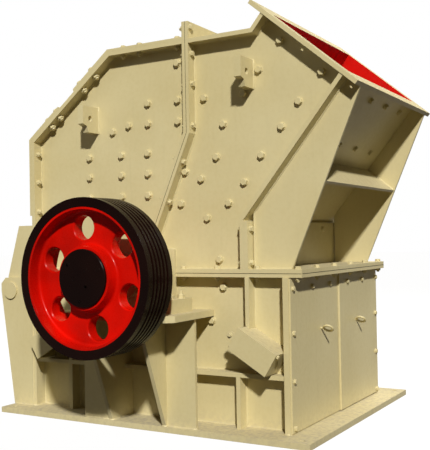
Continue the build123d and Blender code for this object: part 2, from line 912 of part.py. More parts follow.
# Shaft, as steps of one radius each, from the pulley end to the far end
shaft_steps = (
    (shaft_pulley_radius, -shaft_drive_end, -bearing_outer - journal_reach),
    (shaft_journal_radius, -bearing_outer - journal_reach, -bearing_inner + journal_reach),
    (shaft_neck_radius, -bearing_inner + journal_reach, -rotor_half),
    (shaft_core_radius, -rotor_half, rotor_half),
    (shaft_neck_radius, rotor_half, bearing_inner - journal_reach),
    (shaft_journal_radius, bearing_inner - journal_reach, bearing_outer + journal_reach),
)
with BuildPart() as shaft:
    for radius, start_y, end_y in shaft_steps:
        with BuildSketch(Plane.XZ.offset(-end_y)):
            with Locations((rotor_x, rotor_z)):
                Circle(radius)
        extrude(amount=end_y - start_y)
keep(shaft.part, "shaft")

# Rotor: a tube on the shaft, and discs with a pocket for every blow bar and a relief before it
with BuildPart() as rotor_tube:
    with BuildSketch(Plane.XZ.offset(-rotor_half)):
        with Locations((rotor_x, rotor_z)):
            Circle(rotor_tube_radius)
            Circle(shaft_core_radius, mode=Mode.SUBTRACT)
    extrude(amount=2 * rotor_half)
keep(rotor_tube.part, "rotor_tube")

disc_pitch = (2 * rotor_half - disc_plate) / (disc_count - 1)
with BuildPart() as rotor_discs:
    for disc_index in range(disc_count):
        with BuildSketch(Plane.XZ.offset(disc_index * disc_pitch - rotor_half)):
            with Locations((rotor_x, rotor_z)):
                Circle(rotor_disc_radius)
                Circle(rotor_tube_radius, mode=Mode.SUBTRACT)
                with PolarLocations(0, bar_count, start_angle=bar_phase):
                    with Locations(((bar_root + bar_tip) / 2, 0)):
                        Rectangle(bar_tip - bar_root, bar_thickness + 2 * bar_gap, mode=Mode.SUBTRACT)
                    with Locations((rotor_disc_radius, (bar_thickness + relief_width) / 2)):
                        Rectangle(2 * relief_depth, relief_width, mode=Mode.SUBTRACT)
        extrude(amount=disc_plate)
keep(rotor_discs.part, "rotor_discs")

with BuildPart() as blow_bars:
    with BuildSketch(Plane.XZ.offset(-rotor_half)):
        with Locations((rotor_x, rotor_z)):
            with PolarLocations((bar_root + bar_gap + bar_tip) / 2, bar_count, start_angle=bar_phase):
                Rectangle(bar_tip - bar_root - bar_gap, bar_thickness)
    extrude(amount=2 * rotor_half)
keep(blow_bars.part, "blow_bars")

# Pulley: black grooved rim, red disc with six holes, and a black cap over the hub
shaft_axis = Axis((rotor_x, 0, rotor_z), (0, 1, 0))
rim_middle = -(pulley_front + pulley_rear) / 2
with BuildPart() as pulley_rim:
    with BuildSketch(Plane.XY.offset(rotor_z)):
        with Locations((rotor_x + (rim_inner_radius + pulley_radius) / 2, rim_middle)):
            Rectangle(pulley_radius - rim_inner_radius, pulley_width)
        for groove_index in range(groove_count):
            groove_y = rim_middle + (groove_index - (groove_count - 1) / 2) * groove_pitch
            with BuildLine():
                Polyline(
                    (rotor_x + pulley_radius, groove_y - groove_mouth / 2),
                    (rotor_x + pulley_radius, groove_y + groove_mouth / 2),
                    (rotor_x + pulley_radius - groove_depth, groove_y + groove_root / 2),
                    (rotor_x + pulley_radius - groove_depth, groove_y - groove_root / 2),
                    close=True,
                )
            make_face(mode=Mode.SUBTRACT)
    revolve(axis=shaft_axis)
keep(pulley_rim.part, "pulley_rim")

web_front_y = web_recess - pulley_front
web_back_y = web_front_y + web_thickness
lining_x = rotor_x + lining_radius
with BuildPart() as pulley_disc:
    with BuildSketch(Plane.XY.offset(rotor_z)) as disc_section:
        with BuildLine():
            Polyline(
                (rotor_x + shaft_pulley_radius, boss_recess - pulley_front),
                (rotor_x + boss_front_radius, boss_recess - pulley_front),
                (rotor_x + boss_radius, web_front_y),
                (lining_x, web_front_y),
                (lining_x, lining_recess - pulley_front),
                (rotor_x + rim_inner_radius, lining_recess - pulley_front),
                (rotor_x + rim_inner_radius, -lining_recess - pulley_rear),
                (lining_x, -lining_recess - pulley_rear),
                (lining_x, web_back_y),
                (rotor_x + boss_radius, web_back_y),
                (rotor_x + boss_rear_radius, -boss_rear_recess - pulley_rear),
                (rotor_x + shaft_pulley_radius, -boss_rear_recess - pulley_rear),
                close=True,
            )
        make_face()
        web_corners = disc_section.vertices().filter_by_position(Axis.Y, web_front_y, web_back_y)
        fillet(web_corners, web_fillet)
    revolve(axis=shaft_axis)
    for face_y, inward in ((web_front_y, 1), (web_back_y, -1)):
        for hole_index in range(web_hole_count):
            hole_angle = radians(web_hole_first_angle + hole_index * 360 / web_hole_count)
            hole_x = rotor_x + web_hole_pitch * cos(hole_angle)
            hole_z = rotor_z + web_hole_pitch * sin(hole_angle)
            with BuildSketch(Plane((hole_x, face_y, hole_z), z_dir=(0, inward, 0))):
                Circle(web_hole_radius + web_hole_edge)
            extrude(amount=web_hole_edge, taper=45, mode=Mode.SUBTRACT)
    with BuildSketch(Plane.XZ.offset(pulley_rear)):
        with Locations((rotor_x, rotor_z)):
            with PolarLocations(web_hole_pitch, web_hole_count, start_angle=web_hole_first_angle):
                Circle(web_hole_radius)
    extrude(amount=pulley_width, mode=Mode.SUBTRACT)
keep(pulley_disc.part, "pulley_disc")

with BuildPart() as hub_cap:
    with BuildSketch(Plane.XZ.offset(shaft_drive_end)):
        with Locations((rotor_x, rotor_z)):
            Circle(hub_cap_radius)
    extrude(amount=boss_recess + hub_cap_reach)
    chamfer(hub_cap.faces().sort_by(Axis.Y)[0].edges(), hub_cap_edge)
keep(hub_cap.part, "hub_cap")
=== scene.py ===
# %% [markdown]
# # A stone crusher, from bare plates to a painted machine
# The machine is a welded box in two halves with a heavy rotor between them. Stone falls in through
# the tilted mouth, the rotor throws it about, and it leaves through the hole in the base. Its
# plates, bearings, rotor and pulley are loaded ready made, each at its real size and place. This
# lesson adds what makes such a machine look real: bolt heads, weld beads, small fittings, paint,
# light and a point of view.

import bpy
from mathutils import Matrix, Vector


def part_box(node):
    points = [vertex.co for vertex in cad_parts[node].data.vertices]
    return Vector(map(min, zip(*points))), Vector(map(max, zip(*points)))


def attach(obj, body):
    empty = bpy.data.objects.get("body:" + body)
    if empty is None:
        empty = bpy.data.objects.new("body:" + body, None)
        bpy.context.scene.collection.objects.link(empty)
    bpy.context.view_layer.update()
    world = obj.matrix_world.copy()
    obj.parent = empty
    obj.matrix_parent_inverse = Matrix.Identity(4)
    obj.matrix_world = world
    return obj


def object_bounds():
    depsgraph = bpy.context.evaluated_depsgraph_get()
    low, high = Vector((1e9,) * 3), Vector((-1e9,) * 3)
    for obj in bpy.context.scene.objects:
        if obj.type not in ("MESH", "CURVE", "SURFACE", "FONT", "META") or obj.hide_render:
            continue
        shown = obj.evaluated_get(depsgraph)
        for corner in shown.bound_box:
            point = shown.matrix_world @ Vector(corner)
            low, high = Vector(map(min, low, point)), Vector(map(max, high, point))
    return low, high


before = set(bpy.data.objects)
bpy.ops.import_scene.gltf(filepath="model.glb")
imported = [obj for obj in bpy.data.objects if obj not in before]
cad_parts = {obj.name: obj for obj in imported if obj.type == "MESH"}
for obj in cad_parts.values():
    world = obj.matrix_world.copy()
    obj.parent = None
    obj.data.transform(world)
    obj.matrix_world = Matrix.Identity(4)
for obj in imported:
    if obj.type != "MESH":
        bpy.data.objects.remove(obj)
machine_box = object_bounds()

# %% What the lesson uses
from math import atan2, cos, pi, radians, sin

import bmesh
import bpy
from mathutils import Matrix, Vector

MM = 0.001
scene = bpy.context.scene

# %% [markdown]
# ## The view
# A camera is placed before anything else, because it tells which details will be seen close up.
# The machine is looked at from about six and a half metres, at chest height, from the side that
# carries the pulley and a third of the way round to the feed end. The camera leans by one degree,
# as a hand-held one does. Its directions are worked out from the three angles, so that each of
# them can be changed by itself.

# %% Camera
view_azimuth = radians(30.33)
view_elevation = radians(1.04)
view_roll = radians(-1.04)
view_place = Vector((3.301, -5.513, 1.311))
view_lens = 63.77

ahead = Vector((
    -sin(view_azimuth) * cos(view_elevation),
    cos(view_azimuth) * cos(view_elevation),
    sin(view_elevation),
))
level = Vector((cos(view_azimuth), sin(view_azimuth), 0.0))
upright = level.cross(ahead)
camera_x = cos(view_roll) * level + sin(view_roll) * upright
camera_y = cos(view_roll) * upright - sin(view_roll) * level

camera = bpy.data.objects.new("camera", bpy.data.cameras.new("camera"))
camera.data.lens = view_lens
camera.data.sensor_width = 36.0
camera_turn = Matrix((camera_x, camera_y, -ahead)).transposed().to_4x4()
camera.matrix_world = Matrix.Translation(view_place) @ camera_turn
scene.collection.objects.link(camera)
scene.camera = camera
print("camera at", [round(v, 2) for v in view_place])

# %% [markdown]
# ## Sums of shader sockets
# A material is a small program, and it is easier to read as sums than as a web of nodes. The
# class below wraps one output socket. Python's own signs then add Math nodes, and one method adds
# any other node. The same class serves the node trees that make geometry further down.


# %% A socket that takes part in sums
class Wire:
    """An output socket of a node tree, ready to stand in a sum."""

    def __init__(self, tree, socket=None):
        self.tree = tree
        self.socket = socket

    def node(self, kind, settings=None, inputs=None, output=0):
        """Add a node, set it up, fill its inputs with values or wires, and hand back one output."""
        made = self.tree.nodes.new(kind)
        for name, value in (settings or {}).items():
            setattr(made, name, value)
        for name, value in (inputs or {}).items():
            if isinstance(value, Wire):
                self.tree.links.new(value.socket, made.inputs[name])
            else:
                made.inputs[name].default_value = value
        return Wire(self.tree, made.outputs[output])

    def maths(self, operation, *values):
        return self.node("ShaderNodeMath", {"operation": operation}, dict(enumerate(values)))

    def __add__(self, other):
        return self.maths("ADD", self, other)

    def __sub__(self, other):
        return self.maths("SUBTRACT", self, other)

    def __rsub__(self, other):
        return self.maths("SUBTRACT", other, self)

    def __mul__(self, other):
        return self.maths("MULTIPLY", self, other)

    __radd__ = __add__
    __rmul__ = __mul__

    def absolute(self):
        return self.maths("ABSOLUTE", self)

    def ramp(self, low, high):
        """Stretch a value so that low becomes 0 and high becomes 1, smoothly and with no overshoot."""
        places = {"Value": self, "From Min": low, "From Max": high}
        return self.node("ShaderNodeMapRange", {"interpolation_type": "SMOOTHSTEP"}, places)

    def mix(self, plain, marked):
        """Blend two colours, with this wire as the share of the second one."""
        return self.node("ShaderNodeMix", {"data_type": "RGBA"}, {0: self, 6: plain, 7: marked}, 2)

    def noise(self, scale, detail=3.0, roughness=0.5, stretch=(1.0, 1.0, 1.0)):
        """Soft random values over this wire's coordinates."""
        placed = self.node("ShaderNodeMapping", {}, {"Vector": self, "Scale": stretch})
        sizes = {"Vector": placed, "Scale": scale, "Detail": detail, "Roughness": roughness}
        return self.node("ShaderNodeTexNoise", {}, sizes)

    def dot(self, other):
        return self.node("ShaderNodeVectorMath", {"operation": "DOT_PRODUCT"}, {0: self, 1: other}, 1)

    def parts(self):
        """The X, Y and Z of a vector, as three wires."""
        return [self.node("ShaderNodeSeparateXYZ", {}, {0: self}, axis) for axis in range(3)]


# %% [markdown]
# ## A blank to start a paint from
# Every finish here starts alike: a new material, the piece's own coordinates, and the two facts
# that wear depends on. One is which way the surface faces, because dust lies on what faces up.
# The other is how near an edge is. Cycles can round an edge while it shades, and where the
# rounded normal and the true one differ, there is an edge. Rounding by shading also gives each
# cut plate the thin bright line that real edges have, with no extra faces.


# %% Start a material
def colour(red, green, blue):
    return (red, green, blue, 1.0)


class Finish:
    """A material under way: its coordinates, its edge mask and the socket that takes its bump."""

    def __init__(self, name, edge_radius):
        self.material = bpy.data.materials.new(name)
        self.material.use_nodes = True
        self.tree = self.material.node_tree
        self.shader = self.tree.nodes["Principled BSDF"]
        start = Wire(self.tree)
        self.place = start.node("ShaderNodeTexCoord", output="Object")
        self.facing = start.node("ShaderNodeTexCoord", output="Normal")
        self.rounded = start.node("ShaderNodeBevel", {"samples": 4}, {"Radius": edge_radius})
        flat = start.node("ShaderNodeNewGeometry", output="Normal")
        self.edge = 1 - self.rounded.dot(flat)

    def set(self, **sockets):
        """Set sockets of the shader by name, with values or wires."""
        for name, value in sockets.items():
            socket = self.shader.inputs[name.replace("_", " ")]
            if isinstance(value, Wire):
                self.tree.links.new(value.socket, socket)
            else:
                socket.default_value = value

    def bump(self, height, depth):
        """Raise the surface by a height wire, with depth in metres, on top of the rounded edges."""
        inputs = {"Height": height, "Distance": depth, "Strength": 1.0, "Normal": self.rounded}
        self.set(Normal=self.place.node("ShaderNodeBump", {}, inputs))


print("helpers ready")

# %% [markdown]
# ## Cream paint on the plates
# The housing is sprayed with a semi-gloss cream enamel. Sprayed paint is never one colour: its
# tone drifts over a metre or so, a fine peel breaks its shine, rain leaves faint upright streaks,
# dust settles on ledges, and edges are rubbed darker by slings and boots. The peel and the slight
# dents of thick welded plate are bump, because they are far too shallow for geometry.
#
# The inside of the housing is painted red. A plate has both colours, so its material needs to know
# where the inside begins. A small function tells it: where the surface faces the inside and lies
# between the side plates, it is red. The flange round the mouth is red only round its opening.


# %% Cream and red enamel
cream_light = colour(0.67, 0.59, 0.335)
cream_deep = colour(0.61, 0.525, 0.275)
dust_tone = colour(0.47, 0.41, 0.29)
grime_tone = colour(0.17, 0.13, 0.07)
red_light = colour(0.70, 0.0045, 0.0005)
red_deep = colour(0.44, 0.004, 0.001)
paint_border = 2 * MM


def facing_in(direction, half_width):
    """Tell the side of a plate that faces a direction, out to a half width."""

    def inside(paint):
        off_centre = paint.place.parts()[1].absolute()
        within = 1 - off_centre.ramp(half_width, half_width + paint_border)
        return paint.facing.dot(direction).ramp(0.6, 0.8) * within

    return inside


def cream_paint(name="cream_enamel", red_part=None):
    """Cream enamel over welded plate, red on the part that is inside the housing."""
    paint = Finish(name, edge_radius=2.5 * MM)
    place = paint.place
    facing_up = paint.facing.parts()[2]
    height = place.parts()[2]

    drift = place.noise(1.4).ramp(0.3, 0.7)
    mottle = place.noise(38.0, detail=5.0).ramp(0.35, 0.75)
    tone = (drift * 0.7 + mottle * 0.3).mix(cream_light, cream_deep)

    streaks = place.noise(6.0, detail=4.0, stretch=(5.0, 5.0, 0.35)).ramp(0.52, 0.82)
    specks = place.noise(90.0, detail=2.0).ramp(0.55, 0.8)
    dust = facing_up.ramp(0.5, 0.95) * (0.22 + mottle * 0.3)
    foot = (1 - height.ramp(0.03, 0.16)) * mottle * 0.35
    tone = (streaks * 0.05).mix(tone, grime_tone)
    tone = (dust + foot).mix(tone, dust_tone)
    rubbed = paint.edge.ramp(0.02, 0.2) * specks
    tone = (rubbed * 0.45).mix(tone, grime_tone)

    gloss = 0.30 + 0.12 * mottle + 1.1 * dust + 0.08 * streaks
    if red_part is not None:
        inside = red_part(paint)
        scratches = place.noise(22.0, detail=6.0, stretch=(1.0, 1.0, 0.3)).ramp(0.45, 0.8)
        tone = inside.mix(tone, scratches.mix(red_light, red_deep))
        gloss = gloss + inside * 0.08
    paint.set(Base_Color=tone, Roughness=gloss, Coat_Weight=0.08, Coat_Roughness=0.2)
    paint.set(Specular_IOR_Level=0.35)
    peel = place.noise(420.0, detail=1.0) * 0.10 + place.noise(2.6, detail=1.5) * 1.6
    paint.bump(peel, 1.1 * MM)
    return paint.material


cream = cream_paint()
print("cream enamel:", len(cream.node_tree.nodes), "nodes")

# %% [markdown]
# ## Red and black enamel on the pulley
# The pulley is one iron casting, painted red on its disc and black on its grooved rim. Castings
# are coarser than plate, so the skin under the paint is lumpy at a scale of a few millimetres.
# Both paints have a clear gloss, which Principled calls a coat.


# %% Enamel on castings
def cast_enamel(name, light, deep, gloss):
    """Glossy enamel over a cast skin, with dust where the surface faces up."""
    paint = Finish(name, edge_radius=3.0 * MM)
    skin = paint.place.noise(95.0, detail=4.0)
    drift = paint.place.noise(3.0).ramp(0.3, 0.7)
    specks = paint.place.noise(160.0, detail=2.0).ramp(0.5, 0.75)
    tone = drift.mix(light, deep)
    dust = paint.facing.parts()[2].ramp(0.3, 1.0) * specks * 0.01
    tone = dust.mix(tone, dust_tone)
    worn = paint.edge.ramp(0.03, 0.25) * specks
    tone = (worn * 0.08).mix(tone, dust_tone)
    roughness = gloss + 0.12 * skin + 0.3 * dust
    paint.set(Base_Color=tone, Roughness=roughness, Coat_Weight=0.05, Coat_Roughness=0.1)
    paint.set(Specular_IOR_Level=0.08)
    paint.bump(skin * 0.5 + paint.place.noise(14.0) * 0.8, 0.7 * MM)
    return paint.material


black_light = colour(0.006, 0.002, 0.0015)
black_deep = colour(0.010, 0.003, 0.002)
red = cast_enamel("red_enamel", red_light, red_deep, gloss=0.22)
black = cast_enamel("black_enamel", black_light, black_deep, gloss=0.20)
print("casting enamels ready")

# %% [markdown]
# ## Bare metal
# The shaft is turned, so its skin has fine rings round its axis, which runs along Y. Noise that is
# stretched flat in X and Z and squeezed along Y makes such rings. The rotor is primed iron, and
# its blow bars are cast steel that is left bare, with a rougher skin.


# %% Turned steel, primer and cast steel
def turned_steel():
    """Oiled steel with fine rings round the shaft's axis."""
    steel = Finish("turned_steel", edge_radius=1.0 * MM)
    rings = steel.place.noise(900.0, detail=2.0, stretch=(0.02, 1.0, 0.02))
    stain = steel.place.noise(9.0, detail=5.0).ramp(0.45, 0.8)
    tone = (stain * 0.6).mix(colour(0.46, 0.46, 0.47), colour(0.20, 0.17, 0.14))
    steel.set(Base_Color=tone, Metallic=1.0, Roughness=0.24 + 0.22 * stain + 0.1 * rings)
    steel.bump(rings, 0.12 * MM)
    return steel.material


def raw_casting(name, light, deep, metallic):
    """A cast skin with no gloss."""
    iron = Finish(name, edge_radius=3.0 * MM)
    skin = iron.place.noise(60.0, detail=6.0, roughness=0.65)
    patches = iron.place.noise(7.0, detail=4.0).ramp(0.35, 0.7)
    tone = patches.mix(light, deep)
    iron.set(Base_Color=tone, Metallic=metallic, Roughness=0.55 + 0.3 * skin)
    iron.bump(skin, 1.6 * MM)
    return iron.material


steel = turned_steel()
primer = raw_casting("iron_primer", colour(0.15, 0.045, 0.03), colour(0.09, 0.035, 0.026), 0.0)
wear_iron = raw_casting("cast_steel", colour(0.23, 0.22, 0.21), colour(0.13, 0.10, 0.085), 0.75)
print("metals ready")

# %% [markdown]
# ## Paint the loaded pieces
# Each loaded piece already has its shape, so it only needs a material in its slot. The plates that
# close the housing get a cream paint of their own, which knows which way is inward.


# %% Paint the frame, the rear housing and the rotor
def slope_normal(label, side):
    """The direction that a sloping plate's face points, worked out from its box."""
    low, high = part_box(label)
    angle = atan2(high.z - low.z, high.x - low.x)
    return Vector((-sin(angle) * side, 0.0, cos(angle) * side))


chamber_half = -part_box("cheek_shelf")[0].y
inner_limit = chamber_half + 1 * MM
whole_width = 1.0
inward_of = {
    "feed_side_drive": facing_in(Vector((0, 1, 0)), whole_width),
    "feed_side_far": facing_in(Vector((0, -1, 0)), whole_width),
    "rear_side_drive": facing_in(Vector((0, 1, 0)), whole_width),
    "rear_side_far": facing_in(Vector((0, -1, 0)), whole_width),
    "feed_roof": facing_in(Vector((0, 0, -1)), inner_limit),
    "rear_roof": facing_in(Vector((0, 0, -1)), inner_limit),
    "feed_wall": facing_in(Vector((-1, 0, 0)), inner_limit),
    "rear_wall": facing_in(Vector((1, 0, 0)), inner_limit),
    "feed_neck": facing_in(slope_normal("feed_neck", -1), inner_limit),
    "feed_incline": facing_in(slope_normal("feed_incline", 1), inner_limit),
    "rear_incline": facing_in(slope_normal("rear_incline", -1), inner_limit),
}
mouth_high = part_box("mouth_flange")[1]
mouth_slope = radians(40.3)
mouth_length = 0.9698
upper_rim_end = 0.050
lower_rim_start = 0.900
rim_border = 10 * MM
mouth_down = Vector((cos(mouth_slope), 0.0, -sin(mouth_slope)))
mouth_face = Vector((sin(mouth_slope), 0.0, cos(mouth_slope)))
mouth_tip = Vector((mouth_high.x - mouth_down.x * mouth_length, 0.0, mouth_high.z))


def mouth_opening(paint):
    """Tell the edges round the mouth's opening: they face along the flange, inside its rim."""
    along = paint.place.dot(mouth_down) - mouth_tip.dot(mouth_down)
    off_centre = paint.place.parts()[1].absolute()
    edge_on = 1 - paint.facing.dot(mouth_face).absolute().ramp(0.4, 0.6)
    past_upper_rim = along.ramp(upper_rim_end, upper_rim_end + rim_border)
    before_lower_rim = 1 - along.ramp(lower_rim_start, lower_rim_start + rim_border)
    between_sides = 1 - off_centre.ramp(inner_limit, inner_limit + paint_border)
    return edge_on * past_upper_rim * before_lower_rim * between_sides


inward_of["mouth_flange"] = mouth_opening
paint_of = {
    "pulley_rim": black,
    "hub_cap": black,
    "pulley_disc": red,
    "shaft": steel,
    "rotor_tube": primer,
    "rotor_discs": primer,
    "blow_bars": wear_iron,
}
for label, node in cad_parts.items():
    if label in inward_of:
        paint = cream_paint(f"cream_and_red_{label}", inward_of[label])
    else:
        paint = paint_of.get(label, cream)
    node.data.materials.clear()
    node.data.materials.append(paint)
print("painted", len(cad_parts), "pieces")

# %% [markdown]
# ## Faces to work from
# Bolts and welds sit on the plates, so their places are read from the loaded pieces: the outer
# face of the side plates, the flanges, the doors. Only what is chosen, such as the spread
# of the liner bolts over a side plate, is written down as a number.

# %% Faces of the machine
side_y = -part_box("feed_side_drive")[0].y
base_low, base_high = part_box("base_plate")
joint_low, joint_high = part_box("upper_flange_feed")
flange_y = -joint_low.y
lower_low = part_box("lower_flange_feed")[0]
end_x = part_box("feed_door_drive")[1].x
shaft_low, shaft_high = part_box("pulley_rim")
shaft_x = (shaft_low.x + shaft_high.x) / 2
shaft_z = (shaft_low.z + shaft_high.z) / 2
ledge_y = (side_y + flange_y) / 2
print("side plates at", round(side_y, 3), "shaft at", round(shaft_x, 3), round(shaft_z, 3))

# %% [markdown]
# ## Bolt heads, by Geometry Nodes
# There are a few hundred bolts on this machine, in a handful of sizes. That is work for Geometry
# Nodes: a mesh of bare points says where bolts go, an attribute on each point says which way its
# head looks, and the tree puts one head on every point. Spanners leave heads at any angle, so each
# is turned by a random amount with a fixed seed. The head is a six-sided prism with its top
# chamfered, on a washer. Sizes are inputs of the tree, so that one tree serves every thread.


# %% The bolt tree
def open_tree(name, inputs, result):
    """Start a tree with inputs given as (name, kind, default). Hand it back with their wires."""
    tree = bpy.data.node_groups.new(name, "GeometryNodeTree")
    for label, kind, value in inputs:
        made = tree.interface.new_socket(label, in_out="INPUT", socket_type="NodeSocket" + kind)
        if value is not None:
            made.default_value = value
    tree.interface.new_socket(result, in_out="OUTPUT", socket_type="NodeSocketGeometry")
    entry = tree.nodes.new("NodeGroupInput")
    return tree, {socket.name: Wire(tree, socket) for socket in entry.outputs}


def close_tree(tree, shape, paint):
    """Turn what a tree has made into real faces, paint them and hand them out."""
    solid = shape.node("GeometryNodeRealizeInstances", {}, {"Geometry": shape})
    painted = solid.node("GeometryNodeSetMaterial", {}, {"Geometry": solid, "Material": paint})
    leave = tree.nodes.new("NodeGroupOutput")
    tree.links.new(painted.socket, leave.inputs[0])


def bolt_tree():
    """Six-sided heads on washers, one on each point of the mesh, looking along its 'axis'."""
    inputs = (
        ("Points", "Geometry", None),
        ("Head radius", "Float", 0.026),
        ("Head height", "Float", 0.019),
        ("Washer radius", "Float", 0.028),
        ("Washer height", "Float", 0.004),
        ("Stud radius", "Float", 0.0),
        ("Stud height", "Float", 0.0),
        ("Seed", "Int", 7),
        ("Paint", "Material", None),
    )
    tree, given = open_tree("bolt_heads", inputs, "Bolts")
    start = Wire(tree)

    def raised(shape, height):
        """Lift a shape along Z."""
        offset = start.node("ShaderNodeCombineXYZ", {}, {"Z": height})
        return start.node("GeometryNodeTransform", {}, {"Geometry": shape, "Translation": offset})

    def tapered(sides, foot_radius, top_radius, height, foot):
        """A cone's frustum that stands on a height."""
        sizes = {"Vertices": sides, "Radius Bottom": foot_radius, "Radius Top": top_radius}
        sizes["Depth"] = height
        return raised(start.node("GeometryNodeMeshCone", {}, sizes), foot)

    washer_height = given["Washer height"]
    washer_radius = given["Washer radius"]
    head_radius = given["Head radius"]
    crown_share = 0.22
    shank_height = given["Head height"] * (1 - crown_share)
    crown_height = given["Head height"] * crown_share
    sunk = 2 * MM
    washer = tapered(18, washer_radius, washer_radius * 0.97, washer_height + sunk, -sunk)
    prism = tapered(6, head_radius, head_radius, shank_height, washer_height)
    crown = tapered(6, head_radius, head_radius * 0.84, crown_height, washer_height + shank_height)
    stud_radius = given["Stud radius"]
    stud_foot = washer_height + given["Head height"] - sunk
    stud = tapered(12, stud_radius, stud_radius * 0.9, given["Stud height"] + sunk, stud_foot)
    head = tree.nodes.new("GeometryNodeJoinGeometry")
    for shape in (washer, prism, crown, stud):
        tree.links.new(shape.socket, head.inputs[0])

    kind = {"data_type": "FLOAT_VECTOR"}
    axis = start.node("GeometryNodeInputNamedAttribute", kind, {"Name": "axis"})
    upright = start.node("FunctionNodeAlignRotationToVector", {"axis": "Z"}, {"Vector": axis})
    limits = {2: 0.0, 3: pi, "Seed": given["Seed"]}
    spin = start.node("FunctionNodeRandomValue", {"data_type": "FLOAT"}, limits, 1)
    about = {"Axis": (0.0, 0.0, 1.0), "Angle": spin}
    turn = start.node("FunctionNodeAxisAngleToRotation", {}, about)
    both = {"Rotation": upright, "Rotate By": turn}
    turned = start.node("FunctionNodeRotateRotation", {"rotation_space": "LOCAL"}, both)
    copies = {"Points": given["Points"], "Instance": Wire(tree, head.outputs[0])}
    copies["Rotation"] = turned
    placed = start.node("GeometryNodeInstanceOnPoints", {}, copies)
    close_tree(tree, placed, given["Paint"])
    return tree


heads = bolt_tree()
print("bolt tree:", len(heads.nodes), "nodes")

# %% [markdown]
# A modifier's inputs are set by the socket's identifier, which the tree's interface gives for each
# name. The result is then turned into a plain mesh, so that what is kept depends on nothing.


# %% Run a tree over points or lines
def run_tree(label, source, tree, values, body):
    """Run a geometry tree over a source object and keep the result as a plain mesh on a body."""
    scene.collection.objects.link(source)
    modifier = source.modifiers.new("tree", "NODES")
    modifier.node_group = tree
    identifiers = {s.name: s.identifier for s in tree.interface.items_tree if s.in_out == "INPUT"}
    for name, value in values.items():
        modifier[identifiers[name]] = value
    bpy.context.view_layer.update()
    ready = source.evaluated_get(bpy.context.evaluated_depsgraph_get())
    mesh = bpy.data.meshes.new_from_object(ready)
    mesh.name = label
    bpy.data.objects.remove(source)
    piece = bpy.data.objects.new(label, mesh)
    scene.collection.objects.link(piece)
    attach(piece, body)
    print(label, "on", body, ":", len(mesh.polygons), "faces")


def head_sizes(head_radius, head_height, washer_radius, washer_height):
    """The sizes of a head and its washer, given in millimetres."""
    return {
        "Head radius": head_radius * MM,
        "Head height": head_height * MM,
        "Washer radius": washer_radius * MM,
        "Washer height": washer_height * MM,
    }


thread_sizes = {
    "M30": head_sizes(26.6, 20, 30, 4),
    "M24": head_sizes(20.8, 16, 23, 4),
    "M20": head_sizes(17.3, 13, 19, 3),
    "M16": head_sizes(13.9, 10, 15.5, 3),
}


def bolts(label, thread, places, body="frame", paint=None, slot="cream_paint", **more):
    """Bolt heads at (point, direction) places."""
    mesh = bpy.data.meshes.new(label + "_points")
    mesh.from_pydata([tuple(p) for p, _ in places], [], [])
    axis = mesh.attributes.new("axis", "FLOAT_VECTOR", "POINT")
    axis.data.foreach_set("vector", [c for _, direction in places for c in direction])
    values = dict(thread_sizes[thread], Seed=len(label), Paint=paint or cream)
    values.update(more)
    run_tree(label, bpy.data.objects.new(label + "_points", mesh), heads, values, body)


def on_both_sides(points, y, direction=None):
    """Places on the drive side and their twins on the far side, from (x, z) points."""
    places = []
    for side in (-1, 1):
        look = Vector((0, side, 0)) if direction is None else direction
        places += [(Vector((x, side * y, z)), look) for x, z in points]
    return places


print("thread sizes:", ", ".join(thread_sizes))

# %% [markdown]
# ## Bolts of the wear liners
# Inside the housing hang wear liners, and each is held by a bolt whose head shows outside. On the
# rear housing they stand in a square grid. On the feed housing a row follows the incline, and the
# others spread between it and the seam.

# %% Liner bolts
rear_grid = [(x, z) for z in (1.949, 1.799, 1.641) for x in (-0.053, -0.293, -0.594)]
rear_upper = [
    (-0.045, 2.313),
    (-0.045, 2.164),
    (-0.221, 2.165),
    (-0.368, 2.129),
    (0.214, 2.576),
    (0.214, 2.311),
    (0.214, 2.158),
]
incline_row = [(0.619, 1.559), (0.742, 1.698), (0.876, 1.872), (1.029, 2.052), (1.157, 2.206)]
feed_spread = [
    (1.030, 2.626),
    (1.323, 2.380),
    (0.867, 2.450),
    (0.745, 2.302),
    (0.435, 2.302),
    (0.585, 2.107),
    (0.527, 1.883),
    (0.401, 1.738),
    (0.269, 1.794),
    (0.231, 1.569),
    (0.446, 1.461),
    (0.538, 1.172),
]
lower_spread = [(0.566, 0.982), (0.468, 0.749), (-0.590, 0.982), (-0.490, 0.749)]
bolts("liner_bolts_rear", "M30", on_both_sides(rear_grid + rear_upper, side_y), "rear_housing")
bolts("liner_bolts_feed", "M30", on_both_sides(incline_row + feed_spread + lower_spread, side_y))

# %% [markdown]
# ## Bolts of the flanges
# The two halves meet at flanges, and so do the housing and the lower frame. A flange bolt shows a
# head on one face and a nut with a stub of thread on the other, so both are made: the nut is the
# same tree with a stud on top.


# %% Through bolts
thread_share = 0.56


def through_bolts(label, thread, places, grip, body="frame", nut_body=None):
    """Heads at the places, and nuts with a stub of thread behind them at the grip's distance."""
    thread_radius = thread_sizes[thread]["Head radius"] * thread_share
    stud = {"Stud radius": thread_radius, "Stud height": 10 * MM}
    behind = [(p - direction * grip, -direction) for p, direction in places]
    bolts(label + "_heads", thread, places, body)
    bolts(label + "_nuts", thread, behind, nut_body or body, **stud)


along_x = Vector((1, 0, 0))
along_y = Vector((0, 1, 0))
along_z = Vector((0, 0, 1))
across_pitch = 0.314
across_row = [across_pitch * (k - 2.5) for k in range(6)]

